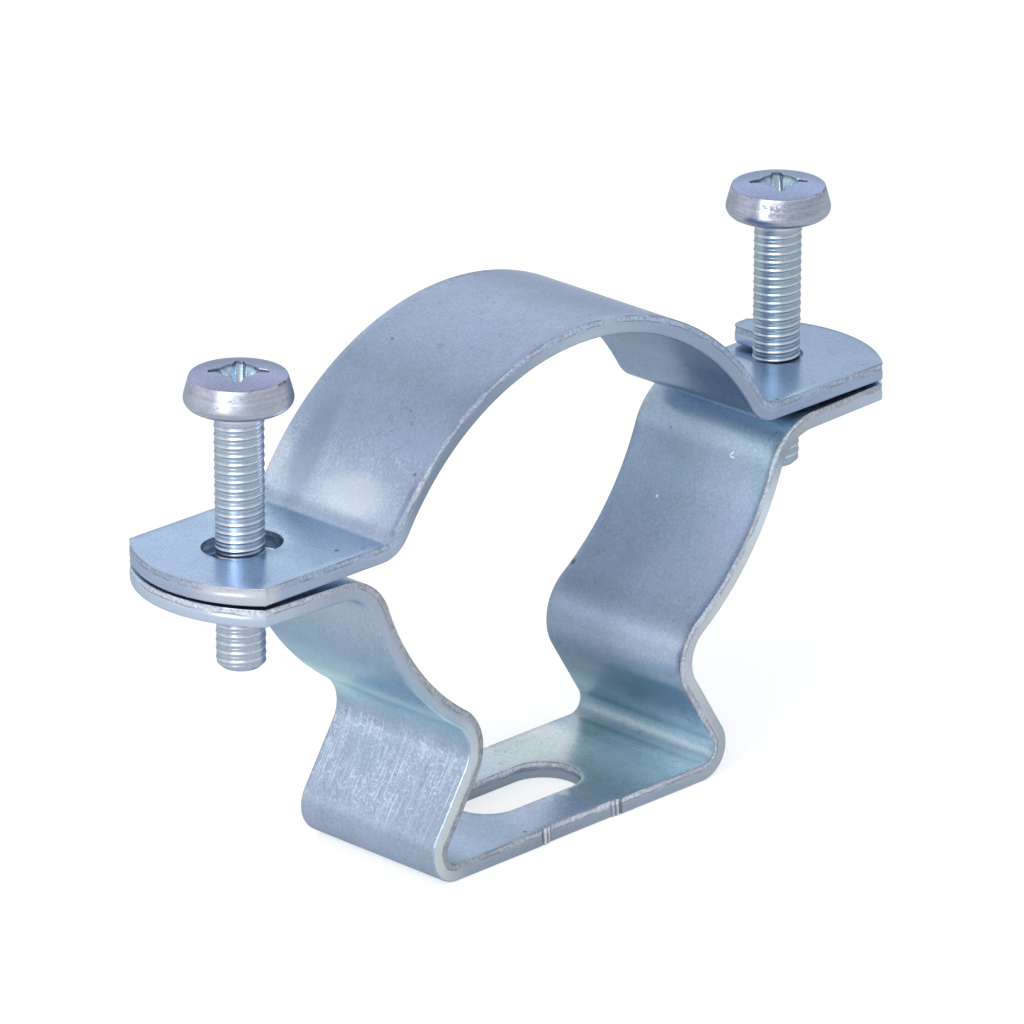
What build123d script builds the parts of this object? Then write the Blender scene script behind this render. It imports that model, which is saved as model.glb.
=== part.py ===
# Two-part spacer clamp for a pipe or a bundle of cable, bent from steel strip.
# The lower strap stands on a slotted foot. Its legs draw in to a waist, curve out
# again as the seat and end in flanges with tapped holes. The upper strap arches
# over the pipe and lies on those flanges. It turns about the left screw, and its
# open slot lets it swing clear of the right screw once both are loosened.
#
# Frame: X runs from flange to flange, Y along the pipe, Z up. The origin is on the
# underside of the foot, at its middle.
from build123d import *
from math import cos, hypot, radians, tan
import os

# Strip that both straps are cut from
strip_width = 15.0
strip_thickness = 1.5
overall_length = 75.2
end_bow = 3.05
trim_allowance = 2.0

# Pipe that the seat and the arch are bent to
pipe_diameter = 45.0
seat_clearance = 0.1
seat_radius = pipe_diameter / 2 + seat_clearance

# Lower strap, from the foot outwards; bend radii are inside radii
foot_flat = 27.9
foot_bend_radius = 1.2
leg_lean = 32.3
leg_length = 5.9
waist_bend_radius = 2.8
seat_start_angle = 34.5
seat_end_angle = 69.8
shoulder_bend_radius = 3.8
flange_rise = 1.6

# Slot in the foot for the fixing screw, and the pinched strip edge beside it
foot_slot_length = 12.5
foot_slot_width = 6.0
edge_relief_length = 8.5
edge_relief_depth = 0.15

# Upper strap
arch_half_angle = 58.4
arch_bend_radius = 1.7
flange_gap = 0.15

# Screws and the holes that they pass through
screw_end_distance = 7.6
thread_diameter = 3.9
thread_clearance = 0.05
screw_length = 21.2
tip_chamfer = 0.45
pivot_hole_length = 6.8
pivot_hole_shift = 0.7
hole_width = 5.0
hole_offset = 0.5
slot_mouth_radius = 1.0
left_head_lift = 11.6
right_head_lift = 12.0

# Pan head with a cross recess
head_diameter = 8.5
head_shoulder_height = 0.75
head_underside_diameter = 7.3
head_rim_diameter = 7.6
head_rim_height = 2.5
head_dome = 0.45
recess_diameter = 5.0
recess_arm_width = 1.2
recess_depth = 2.0
recess_corner_radius = 0.5
recess_draft = 6.0
recess_floor_diameter = 1.8
left_screw_turn = 44.0
right_screw_turn = 48.0

# Places that follow from the sizes above
screw_x = overall_length / 2 - screw_end_distance
end_corner_x = overall_length / 2 - end_bow
head_height = head_rim_height + head_dome


def distance_from_axis(edge):
    """Distance of an edge's middle from the Z axis, to the nearest micrometre."""
    return round(hypot(edge.center().X, edge.center().Y), 3)


# Outline of the strip seen from above, with both ends bowed
with BuildSketch() as blank:
    with BuildLine():
        back_edge = Line((0, strip_width / 2), (end_corner_x, strip_width / 2))
        bowed_end = ThreePointArc(
            back_edge @ 1,
            (overall_length / 2, 0),
            (end_corner_x, -strip_width / 2),
        )
        Polyline(bowed_end @ 1, (0, -strip_width / 2), (0, strip_width / 2))
    make_face()
    mirror(about=Plane.YZ)

# Lower strap: its underside is drawn as one bent line and thickened upwards
with BuildPart() as lower_strap:
    with BuildSketch(Plane.XZ):
        with BuildLine():
            foot = Line((0, 0), (foot_flat / 2, 0))
            foot_bend = JernArc(
                foot @ 1,
                foot % 1,
                foot_bend_radius + strip_thickness,
                90 + leg_lean,
            )
            leg = PolarLine(foot_bend @ 1, leg_length, direction=foot_bend % 1)
            waist = JernArc(
                leg @ 1,
                leg % 1,
                waist_bend_radius,
                seat_start_angle - 90 - leg_lean,
            )
            seat = JernArc(
                waist @ 1,
                waist % 1,
                seat_radius + strip_thickness,
                seat_end_angle - seat_start_angle,
            )
            shoulder = JernArc(
                seat @ 1,
                seat % 1,
                shoulder_bend_radius,
                flange_rise - seat_end_angle,
            )
            lower_flange = PolarLine(
                shoulder @ 1,
                overall_length / 2 + trim_allowance - (shoulder @ 1).X,
                flange_rise,
                length_mode=LengthMode.HORIZONTAL,
            )
            offset(amount=strip_thickness, side=Side.LEFT)
        make_face()
        mirror(about=Plane.YZ)
    extrude(amount=strip_width / 2, both=True)
    extrude(blank.sketch, amount=2 * overall_length, both=True, mode=Mode.INTERSECT)

    # Slot for the fixing screw
    with BuildSketch():
        SlotOverall(foot_slot_length, foot_slot_width)
    extrude(amount=strip_thickness, both=True, mode=Mode.SUBTRACT)

    # Both long edges of the foot are pinched in over a short length
    with BuildSketch():
        with GridLocations(0, strip_width, 1, 2):
            Rectangle(edge_relief_length, 2 * edge_relief_depth)
    extrude(amount=strip_thickness, both=True, mode=Mode.SUBTRACT)

    # Tapped holes, cut to the thread's full size
    with GridLocations(2 * screw_x, 0, 2, 1):
        Hole(thread_diameter / 2 + thread_clearance)

# The upper strap rests near the ends of the lower flanges, where they are highest
flange_end_height = (lower_flange @ 1).Y - trim_allowance * tan(radians(flange_rise))
flange_underside = flange_end_height + strip_thickness / cos(radians(flange_rise)) + flange_gap
flange_top = flange_underside + strip_thickness
bend_centre_distance = seat_radius + strip_thickness + arch_bend_radius
arch_rise = bend_centre_distance * (1 - cos(radians(arch_half_angle)))

# Upper strap: its top is drawn as one bent line and thickened downwards
with BuildPart() as upper_strap:
    with BuildSketch(Plane.XZ):
        with BuildLine():
            arch = JernArc(
                (0, flange_top + arch_rise),
                (1, 0),
                seat_radius + strip_thickness,
                -arch_half_angle,
            )
            arch_bend = JernArc(arch @ 1, arch % 1, arch_bend_radius, arch_half_angle)
            upper_flange = Line(arch_bend @ 1, (overall_length / 2 + trim_allowance, flange_top))
            offset(amount=strip_thickness, side=Side.RIGHT)
        make_face()
        mirror(about=Plane.YZ)
    extrude(amount=strip_width / 2, both=True)
    extrude(blank.sketch, amount=2 * overall_length, both=True, mode=Mode.INTERSECT)

    # Oblong hole that the strap pivots on
    with BuildSketch(Plane.XY.offset(flange_underside)):
        with Locations((pivot_hole_shift - screw_x, hole_offset)):
            SlotOverall(pivot_hole_length, hole_width)
    extrude(amount=strip_thickness, both=True, mode=Mode.SUBTRACT)

    # Slot that runs out through the back edge
    with BuildSketch(Plane.XY.offset(flange_underside)):
        with Locations((screw_x, hole_offset)):
            Circle(hole_width / 2)
        with Locations((screw_x, hole_offset)):
            Rectangle(hole_width, strip_width, align=(Align.CENTER, Align.MIN))
    extrude(amount=strip_thickness, both=True, mode=Mode.SUBTRACT)
    mouth_corners = upper_strap.edges(Select.LAST).filter_by(Axis.Z).group_by(Axis.Y)[-1]
    fillet(mouth_corners, slot_mouth_radius)

# One arm pair of the cross recess, drawn at the top of the head and narrowing downwards
with BuildPart() as arm_pair:
    with BuildSketch(Plane((0, 0, head_height), z_dir=(0, 0, -1))):
        Rectangle(recess_diameter, recess_arm_width)
    extrude(amount=recess_depth, taper=recess_draft)

# Tip of the driver that fits the recess: both arm pairs, cut to a cone
with BuildPart() as driver_tip:
    add(arm_pair.part)
    add(arm_pair.part, rotation=(0, 0, 90))
    upright_edges = driver_tip.edges().filter_by(lambda edge: abs(edge.tangent_at(0.5).Z) > 0.9)
    fillet(upright_edges.group_by(lambda edge: distance_from_axis(edge))[0], recess_corner_radius)
    with Locations((0, 0, head_height - recess_depth / 2)):
        Cone(recess_floor_diameter / 2, recess_diameter / 2, recess_depth, mode=Mode.INTERSECT)

# Screw, drawn with the underside of its head at Z = 0
with BuildPart() as screw:
    with BuildSketch(Plane.XZ):
        with BuildLine():
            shank = Polyline(
                (0, -screw_length),
                (thread_diameter / 2 - tip_chamfer, -screw_length),
                (thread_diameter / 2, tip_chamfer - screw_length),
                (thread_diameter / 2, 0),
                (head_underside_diameter / 2, 0),
            )
            side = Line(
                (head_diameter / 2, head_shoulder_height),
                (head_rim_diameter / 2, head_rim_height),
            )
            TangentArc(side @ 0, shank @ 1, tangent=(0, -1))
            TangentArc((0, head_height), side @ 1, tangent=(1, 0))
            Line((0, head_height), shank @ 0)
        make_face()
    revolve(axis=Axis.Z)
    add(driver_tip.part, mode=Mode.SUBTRACT)

# The same screw on each side, both backed out above the upper strap
with BuildPart() as screw_left:
    with Locations(Location((-screw_x, 0, flange_top + left_head_lift), (0, 0, left_screw_turn))):
        add(screw.part)

with BuildPart() as screw_right:
    with Locations(Location((screw_x, 0, flange_top + right_head_lift), (0, 0, right_screw_turn))):
        add(screw.part)

os.makedirs("parts", exist_ok=True)

lower_strap.part.label = "lower_strap"
export_step(lower_strap.part, "parts/lower_strap.step")

upper_strap.part.label = "upper_strap"
export_step(upper_strap.part, "parts/upper_strap.step")

screw_left.part.label = "screw_left"
export_step(screw_left.part, "parts/screw_left.step")

screw_right.part.label = "screw_right"
export_step(screw_right.part, "parts/screw_right.step")
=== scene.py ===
# %% [markdown]
# # A zinc-plated spacer clamp
# Two steel strips are bent into a seat and an arch that hold a pipe, and two screws
# pull them together. The solids of the four pieces come from the construction model.
# This file gives them the surface that the press, the thread rollers and the plating
# bath leave behind. Everything is in metres: X runs from flange to flange, Y along the
# pipe and Z up, with the origin under the middle of the foot.

import bmesh
import bpy
import math
from mathutils import Matrix, Vector, kdtree, noise
from mathutils.geometry import delaunay_2d_cdt
from types import SimpleNamespace


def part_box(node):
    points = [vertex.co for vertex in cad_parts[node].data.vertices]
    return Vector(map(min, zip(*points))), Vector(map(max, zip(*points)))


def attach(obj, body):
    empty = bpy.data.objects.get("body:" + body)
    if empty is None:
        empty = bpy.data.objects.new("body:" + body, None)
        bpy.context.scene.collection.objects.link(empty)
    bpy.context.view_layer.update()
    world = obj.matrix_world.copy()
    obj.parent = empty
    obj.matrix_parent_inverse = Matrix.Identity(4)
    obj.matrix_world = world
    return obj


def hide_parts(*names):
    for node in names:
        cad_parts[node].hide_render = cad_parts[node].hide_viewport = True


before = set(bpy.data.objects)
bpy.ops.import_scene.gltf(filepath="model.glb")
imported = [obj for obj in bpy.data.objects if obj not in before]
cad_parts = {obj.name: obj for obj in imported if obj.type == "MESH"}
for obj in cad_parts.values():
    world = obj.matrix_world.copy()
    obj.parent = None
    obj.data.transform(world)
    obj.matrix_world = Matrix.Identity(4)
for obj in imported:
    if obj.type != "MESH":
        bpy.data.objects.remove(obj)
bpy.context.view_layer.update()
MM = 0.001
print("nodes:", sorted(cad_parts))

# %% [markdown]
# ## Sizes of the strip and of its bends
# A bent strip is easiest to think of as a flat blank and a path. The path is the line
# along the middle of the strip's thickness, drawn as straight runs and arcs from the
# middle of the clamp outwards, just as the press brake makes one bend after another.
# Both halves are alike, so only the right half is listed. Bend radii are inside radii,
# and angles are in degrees.

# %% Sizes that the press works to
thickness = 1.5 * MM
half_width = 7.5 * MM
half_length = 37.6 * MM
end_bow = 3.05 * MM
screw_x = 30.0 * MM

foot_flat = 27.9 * MM
foot_bend = 1.2 * MM
leg_lean = 32.3
leg_length = 5.9 * MM
waist_bend = 2.8 * MM
seat_radius = 22.6 * MM
seat_start = 34.5
seat_end = 69.8
shoulder_bend = 3.8 * MM
flange_rise = 1.6
arch_half_angle = 58.4
arch_bend = 1.7 * MM

flange_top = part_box("upper_strap")[0].z + thickness
print("upper flanges end at", round(flange_top / MM, 3), "mm")

# %% Path of each strap
middle = thickness / 2
lower_runs = [
    ("straight", foot_flat / 2, 0),
    ("arc", foot_bend + middle, 90 + leg_lean),
    ("straight", leg_length, 0),
    ("arc", waist_bend + middle, seat_start - 90 - leg_lean),
    ("arc", seat_radius + middle, seat_end - seat_start),
    ("arc", shoulder_bend + middle, flange_rise - seat_end),
]
upper_runs = [
    ("arc", seat_radius + middle, -arch_half_angle),
    ("arc", arch_bend + middle, arch_half_angle),
]
arch_rise = (seat_radius + arch_bend + thickness) * (1 - math.cos(math.radians(arch_half_angle)))
straight_step = 0.35 * MM
bend_step = 0.4 * MM
widest_turn = math.radians(6)


def walk_path(start_z, runs):
    """Right half of a path: stations of (distance, x, z), and where its flange starts and how it slopes."""
    distance, x, z, heading = 0.0, 0.0, start_z, 0.0
    stations = [(distance, x, z)]
    for kind, size, turn in runs:
        angle = math.radians(turn)
        length, step = size, straight_step
        if kind == "arc":
            length = size * abs(angle)
            step = min(bend_step, size * widest_turn)
        count = max(2, math.ceil(length / step))
        chord = length / count
        if kind == "arc":
            chord = 2 * size * math.sin(abs(angle) / count / 2)
        for _ in range(count):
            heading += angle / count / 2
            x += chord * math.cos(heading)
            z += chord * math.sin(heading)
            heading += angle / count / 2
            distance += length / count
            stations.append((distance, x, z))
    flange_start, flange_x = distance, x
    count = math.ceil((half_length - x) / math.cos(heading) / straight_step)
    step = (half_length - x) / math.cos(heading) / count
    for _ in range(count):
        distance += step
        x += step * math.cos(heading)
        z += step * math.sin(heading)
        stations.append((distance, x, z))
    return SimpleNamespace(stations=stations, flange_start=flange_start, flange_x=flange_x, slope=heading)


lower_path = walk_path(middle, lower_runs)
upper_path = walk_path(flange_top - middle + arch_rise, upper_runs)
for label, path in (("lower", lower_path), ("upper", upper_path)):
    print(label, "strip is", round(2 * path.stations[-1][0] / MM, 1), "mm long before bending")

# %% [markdown]
# ## The blank
# On the real clamp the strip is sheared to width, the ends are cropped to a bow and the
# holes are punched, all while it is flat. So the blank is made flat here too: a closed
# outline and the outlines of its holes, with a wall of rings between the two broad
# faces. A tool has also pinched the lower strip's edges in beside the foot's slot, and
# left two fine ridges at each end of the pinch.
#
# Cutting a bent solid with Boolean modifiers would also work, but the flat blank keeps
# its edges clean and gives every point its place along, across and through the strip,
# which the scratches and the torn band follow later.

# %% Places on a strip
def on_flange(x, path):
    """Distance along the strip of a place on its right flange."""
    return path.flange_start + (x - path.flange_x) / math.cos(path.slope)


def bow(side, path, steps=34):
    """Bowed end of a strip as (along, across) points, on the +1 or -1 side, anticlockwise."""
    radius = (end_bow**2 + half_width**2) / (2 * end_bow)
    reach = math.asin(half_width / radius)
    points = []
    for i in range(1, steps):
        angle = -reach + 2 * reach * i / steps
        along = on_flange(half_length - radius + radius * math.cos(angle), path)
        points.append((side * along, side * radius * math.sin(angle)))
    return points


def oblong(centre, across, length, width, step=0.3 * MM):
    """Clockwise outline of a slot with round ends, or of a round hole when both sizes match."""
    radius, straight = width / 2, (length - width) / 2
    arc_steps = math.ceil(math.pi * radius / step)
    run_steps = math.ceil(2 * straight / step)
    points = []
    for end in (1, -1):
        for i in range(arc_steps + 1):
            angle = math.pi / 2 - math.pi * i / arc_steps
            along = centre + end * (straight + radius * math.cos(angle))
            points.append((along, across + end * radius * math.sin(angle)))
        for i in range(1, run_steps):
            points.append((centre + end * straight * (1 - 2 * i / run_steps), across - end * radius))
    return points


def arc_points(centre, across, radius, start, end, steps):
    """Points of an arc between two angles in degrees."""
    angles = [math.radians(start + (end - start) * i / steps) for i in range(steps + 1)]
    return [(centre + radius * math.cos(a), across + radius * math.sin(a)) for a in angles]


lower_screw = on_flange(screw_x, lower_path)
upper_screw = on_flange(screw_x, upper_path)
print("screws pass", round(lower_screw / MM, 2), "and", round(upper_screw / MM, 2), "mm along the strips")

# %% The pinched edge of the foot
pinch_depth = 0.15 * MM
pinch_end = 4.55
pinch_fade = 0.25
pinch_ridges = ((4.1, 0.20, 1.0), (3.65, 0.18, 0.7))
ridge_height = 1.45
pinch_points = [(3.2 + 0.08 * i) * MM for i in range(21)]


def squeezed(along):
    """Half the lower strip's width at a distance along it. Ridges are (place, half width, share) in mm."""
    reach = abs(along) / MM
    ramp = min(1.0, max(0.0, (pinch_end - reach) / pinch_fade))
    eased = ramp * ramp * (3 - 2 * ramp)
    ridges = sum(share * max(0.0, 1 - abs(reach - place) / half) for place, half, share in pinch_ridges)
    return half_width - pinch_depth * (eased - ridge_height * ridges)


print("foot is", round(2 * squeezed(0) / MM, 2), "mm wide where it is pinched")

# %% Outlines of the blanks
corner_steps = 6
end_steps = 26
corner_clearance = 0.25 * MM
cut_clearance = 0.1 * MM


def open_slot(centre, across, width, mouth):
    """Cut that runs in from the back edge, round its end and out again, with rounded mouth corners."""
    far, near = centre + width / 2, centre - width / 2
    steps = math.ceil((half_width - mouth - across) / straight_step)
    rungs = [across + (half_width - mouth - across) * i / steps for i in range(1, steps)]
    cut = arc_points(far + mouth, half_width - mouth, mouth, 90, 180, corner_steps)
    cut += [(far, y) for y in reversed(rungs)]
    cut += arc_points(centre, across, width / 2, 0, -180, end_steps)
    cut += [(near, y) for y in rungs]
    cut += arc_points(near - mouth, half_width - mouth, mouth, 0, 90, corner_steps)
    return cut


def outline(path, cut=None, pinched=False):
    """Anticlockwise outline of a blank, with an open slot's cut in its back edge or with pinched edges."""
    corner = on_flange(half_length - end_bow, path)
    alongs = [s[0] for s in path.stations if s[0] < corner - corner_clearance]
    if pinched:
        alongs = [a for a in alongs if not pinch_points[0] < a < pinch_points[-1]]
        alongs = sorted(alongs + pinch_points)
    alongs = [-a for a in reversed(alongs[1:])] + alongs
    edge = [(a, squeezed(a) if pinched else half_width) for a in alongs]
    front = [(-corner, -half_width)] + [(a, -y) for a, y in edge] + [(corner, -half_width)]
    back = [(corner, half_width)] + edge[::-1] + [(-corner, half_width)]
    if cut:
        before = [p for p in back if p[0] > cut[0][0] + cut_clearance]
        after = [p for p in back if p[0] < cut[-1][0] - cut_clearance]
        back = before + cut + after
    return front + bow(1, path) + back + bow(-1, path)


hole_offset = 0.5 * MM
foot_slot = oblong(0, 0, 12.5 * MM, 6.0 * MM)
tapped_holes = [oblong(side * lower_screw, 0, 4.0 * MM, 4.0 * MM) for side in (1, -1)]
pivot_hole = oblong(0.7 * MM - upper_screw, hole_offset, 6.8 * MM, 5.0 * MM)
slot_cut = open_slot(upper_screw, hole_offset, 5.0 * MM, 1.0 * MM)
lower_outline = outline(lower_path, pinched=True)
upper_outline = outline(upper_path, cut=slot_cut)
print("outline points:", len(lower_outline), len(upper_outline))

# %% [markdown]
# ## Sheared walls
# The wall's rings draw what a shear leaves: a rounded roll-over on the side where the
# punch starts, a smooth burnished band, and a torn band with a faint burr. The tear is
# real relief, made with noise, so it shows on the edge's outline too; bump in the
# material would leave the outline ruler-straight. Each point keeps how much it belongs
# to the wall, as an attribute that the material reads.

# %% Profile of a sheared edge
# (inset, height over the middle, share of the wall), in mm, from the top face to the bottom one
shear_profile = [
    (0.07, 0.75, 0), (0.03, 0.735, 1), (0.02, 0.70, 1), (0.05, 0.60, 1), (0.06, 0.48, 1), (0.06, 0.36, 1),
    (0.05, 0.24, 1), (0.03, 0.12, 1), (0.0, 0.0, 1), (0.0, -0.16, 1), (0.0, -0.32, 1), (0.006, -0.47, 1),
    (0.025, -0.58, 0.8), (0.06, -0.65, 0.5), (0.11, -0.70, 0.25), (0.19, -0.735, 0.1), (0.32, -0.75, 0),
]
foot_middle = 5 * MM
edge_start = 7 * MM
torn_top = 0.72
print("wall has", len(shear_profile), "rings")


def inward(loop):
    """For each point of a loop, the offset direction into the metal, mitred at corners."""
    directions = []
    for i, (x, y) in enumerate(loop):
        if abs(x) < foot_middle and abs(y) > edge_start:
            # Straight in at the pinched edge, whose ridges are narrower than the roll-over
            directions.append(Vector((0, -math.copysign(1, y))))
            continue
        before, here, after = Vector(loop[i - 1]), Vector((x, y)), Vector(loop[(i + 1) % len(loop)])
        arriving, leaving = (here - before).normalized(), (after - here).normalized()
        normal = Vector((-arriving.y, arriving.x))
        mitre = (normal + Vector((-leaving.y, leaving.x))).normalized()
        directions.append(mitre / max(0.5, mitre.dot(normal)))
    return directions


def tear_at(x, y, height, number):
    """How far in mm the torn band is pulled in at a place, different for each outline."""
    if not 0 < height < torn_top:
        return 0.0
    grain = Vector((x / MM * 2.6, y / MM * 2.6, height * 5 + 7 * number))
    return 0.035 * noise.noise(grain) + 0.02 * noise.noise(grain * 3)


def sheared_wall(bm, loop, number):
    """Rings of vertices along an outline, from the top face to the bottom one, joined by faces."""
    wall = bm.verts.layers.float["wall"]
    directions = inward(loop)
    rings = []
    for inset, height, share in shear_profile:
        ring = []
        for (x, y), direction in zip(loop, directions):
            # The burnished band ends in a wavering line
            waver = 0.03 * noise.noise(Vector((x, y, 5)) / MM) if height == 0 else 0
            pull = max(0.0, inset + tear_at(x, y, height, number)) * MM
            vert = bm.verts.new((x + direction.x * pull, y + direction.y * pull, (height + waver) * MM))
            vert[wall] = share
            ring.append(vert)
        rings.append(ring)
    for upper, lower in zip(rings, rings[1:]):
        for i in range(len(loop)):
            j = (i + 1) % len(loop)
            bm.faces.new((upper[i], lower[i], lower[j], upper[j]))
    return rings


# %% Broad faces
columns = [half_width * (-0.9 + 0.15 * i) for i in range(13)]
edge_clearance = 0.32 * MM
print("broad faces have", len(columns), "rows of inner points")


def inside(point, loop):
    """True where a point lies within a closed loop."""
    x, y = point
    odd = False
    for (x1, y1), (x2, y2) in zip(loop, loop[1:] + loop[:1]):
        if (y1 > y) != (y2 > y) and x < (x2 - x1) * (y - y1) / (y2 - y1) + x1:
            odd = not odd
    return odd


def broad_face(bm, rings, stations, faces_up):
    """Triangles between the outer ring and the holes' rings, with inner points at the path's stations."""
    borders = [[(v.co.x, v.co.y) for v in ring] for ring in rings]

    def in_metal(point):
        return inside(point, borders[0]) and not any(inside(point, b) for b in borders[1:])

    verts = [v for ring in rings for v in ring]
    nearby = kdtree.KDTree(len(verts))
    for i, vert in enumerate(verts):
        nearby.insert((vert.co.x, vert.co.y, 0), i)
    nearby.balance()
    edges, start = [], 0
    for ring in rings:
        edges += [(start + i, start + (i + 1) % len(ring)) for i in range(len(ring))]
        start += len(ring)
    for along in sorted({s[0] for s in stations} | {-s[0] for s in stations}):
        for across in columns:
            if nearby.find((along, across, 0))[2] >= edge_clearance and in_metal((along, across)):
                verts.append(bm.verts.new((along, across, rings[0][0].co.z)))
    flat = [Vector((v.co.x / MM, v.co.y / MM)) for v in verts]
    result = delaunay_2d_cdt(flat, edges, [], 1, 1e-6)
    triangles, sources = result[2], result[3]
    for triangle in triangles:
        corners = [verts[sources[k][0]] for k in triangle]
        if in_metal((sum(v.co.x for v in corners) / 3, sum(v.co.y for v in corners) / 3)):
            bm.faces.new(corners if faces_up else corners[::-1])


# %% Build the flat blanks
def flat_blank(name, loops, stations):
    """Flat strip from its outline and its holes: X along it, Y across it and Z through its thickness."""
    bm = bmesh.new()
    bm.verts.layers.float.new("wall")
    walls = [sheared_wall(bm, loop, number) for number, loop in enumerate(loops)]
    broad_face(bm, [rings[0] for rings in walls], stations, faces_up=True)
    broad_face(bm, [rings[-1] for rings in walls], stations, faces_up=False)
    mesh = bpy.data.meshes.new(name)
    bm.to_mesh(mesh)
    bm.free()
    print(name, "has", len(mesh.polygons), "faces")
    return bpy.data.objects.new(name, mesh)


lower_blank = flat_blank("lower_blank", [lower_outline, foot_slot, *tapped_holes], lower_path.stations)
upper_blank = flat_blank("upper_blank", [upper_outline, pivot_hole], upper_path.stations)

# %% [markdown]
# ## Bending with Geometry Nodes
# The press bends the blank round its tools. A node tree does the same: it looks up the
# point of the path that lies as far along as the point of the blank, and moves the
# blank's point there, out from the path by its place in the thickness. Before it does,
# it keeps the flat place as an attribute called flat, for the materials to read.
#
# A Curve modifier is the quicker way, but it stretches the strip by its bounding box
# and gives no say over which side of the path the thickness lies on.
#
# Trees written in Python soon get hard to read, so two small classes help. A signal is
# the output of a node, and adding or multiplying signals makes the Math nodes for it.
# The formulas below then read as they would on paper.


# %% Signals of a node tree
class Signal:
    """Output of a node. Sums, products and the like make new nodes in the same tree."""

    def __init__(self, wiring, socket):
        self.wiring = wiring
        self.socket = socket

    def maths(self, operation, other=0.0, clamp=False):
        inputs = {0: self, 1: other}
        return self.wiring.output("ShaderNodeMath", inputs, operation=operation, use_clamp=clamp)

    def __add__(self, other):
        return self.maths("ADD", other)

    def __sub__(self, other):
        return self.maths("SUBTRACT", other)

    def __rsub__(self, number):
        return self.wiring.output("ShaderNodeMath", {0: number, 1: self}, operation="SUBTRACT")

    def __mul__(self, other):
        return self.maths("MULTIPLY", other)

    def __truediv__(self, other):
        return self.maths("DIVIDE", other)

    def __gt__(self, limit):
        return self.maths("GREATER_THAN", limit)

    def __abs__(self):
        return self.maths("ABSOLUTE")

    def ramp(self, low, high, to_low=0.0, to_high=1.0):
        """Smooth step from one value to another between two limits."""
        return self.wiring.output("ShaderNodeMapRange", {
            "Value": self, "From Min": low, "From Max": high, "To Min": to_low, "To Max": to_high,
        }, interpolation_type="SMOOTHSTEP")

    def noise(self, scale, detail=2.0, rough=0.5, distortion=0.0):
        """Cloudy pattern from 0 to 1 at this place."""
        return self.wiring.output("ShaderNodeTexNoise", {
            "Vector": self, "Scale": scale, "Detail": detail, "Roughness": rough, "Distortion": distortion,
        })

    def vector(self, operation, other=(0, 0, 0), result="Vector"):
        inputs = {0: self, 1: other}
        return self.wiring.output("ShaderNodeVectorMath", inputs, result, operation=operation)

    def scaled(self, factor):
        return self.wiring.output("ShaderNodeVectorMath", {0: self, "Scale": factor}, operation="SCALE")

    def stretched(self, factors):
        return self.vector("MULTIPLY", factors)

    def split(self):
        made = self.wiring.node("ShaderNodeSeparateXYZ", {0: self})
        return [Signal(self.wiring, socket) for socket in made.outputs]


# %% Wiring of a node tree
class Wiring:
    """Adds nodes to one tree. An input may be a number, a vector, a colour or a signal."""

    def __init__(self, tree):
        self.tree = tree

    def node(self, kind, inputs=None, **settings):
        """New node with its properties set and its inputs filled or joined."""
        made = self.tree.nodes.new(kind)
        for key, value in settings.items():
            setattr(made, key, value)
        for key, value in (inputs or {}).items():
            if isinstance(value, Signal):
                self.join(value, made.inputs[key])
            else:
                made.inputs[key].default_value = value
        return made

    def output(self, kind, inputs=None, result=0, **settings):
        """One output of a new node."""
        return Signal(self, self.node(kind, inputs, **settings).outputs[result])

    def outputs(self, kind, inputs=None, **settings):
        """All outputs of a new node, by their names."""
        made = self.node(kind, inputs, **settings)
        return {socket.name: Signal(self, socket) for socket in made.outputs}

    def join(self, signal, target):
        self.tree.links.new(signal.socket, target)

    def combined(self, x=0.0, y=0.0, z=0.0):
        return self.output("ShaderNodeCombineXYZ", {0: x, 1: y, 2: z})


# %% Trees with named inputs
def named_tree(name, kind, inputs, outputs):
    """Wiring and inputs of a new tree, from (name, type, value) inputs and (name, type) outputs."""
    tree = bpy.data.node_groups.new(name, kind)
    for label, socket_type, value in inputs:
        socket = tree.interface.new_socket(label, in_out="INPUT", socket_type=socket_type)
        if value is not None:
            socket.default_value = value
    for label, socket_type in outputs:
        tree.interface.new_socket(label, in_out="OUTPUT", socket_type=socket_type)
    wiring = Wiring(tree)
    return wiring, wiring.outputs("NodeGroupInput")


def end_tree(wiring, geometry, material):
    """Every geometry tree ends by realizing its instances and setting its material."""
    real = wiring.output("GeometryNodeRealizeInstances", {"Geometry": geometry})
    painted = wiring.output("GeometryNodeSetMaterial", {"Geometry": real, "Material": material})
    wiring.node("NodeGroupOutput", {0: painted})


# %% Run a tree on an object
def run_tree(source, tree, values, name):
    """Applies a tree to an object, removes that object and returns the result as a plain mesh object."""
    modifier = source.modifiers.new(tree.name, "NODES")
    modifier.node_group = tree
    for item in tree.interface.items_tree:
        if item.item_type == "SOCKET" and item.in_out == "INPUT" and item.name in values:
            modifier[item.identifier] = values[item.name]
    bpy.context.scene.collection.objects.link(source)
    graph = bpy.context.evaluated_depsgraph_get()
    mesh = bpy.data.meshes.new_from_object(source.evaluated_get(graph), depsgraph=graph)
    bpy.data.objects.remove(source)
    piece = bpy.data.objects.new(name, mesh)
    bpy.context.scene.collection.objects.link(piece)
    mesh.name = name
    mesh.shade_smooth()
    print(name, "has", len(mesh.polygons), "faces after", tree.name)
    return piece


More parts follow.
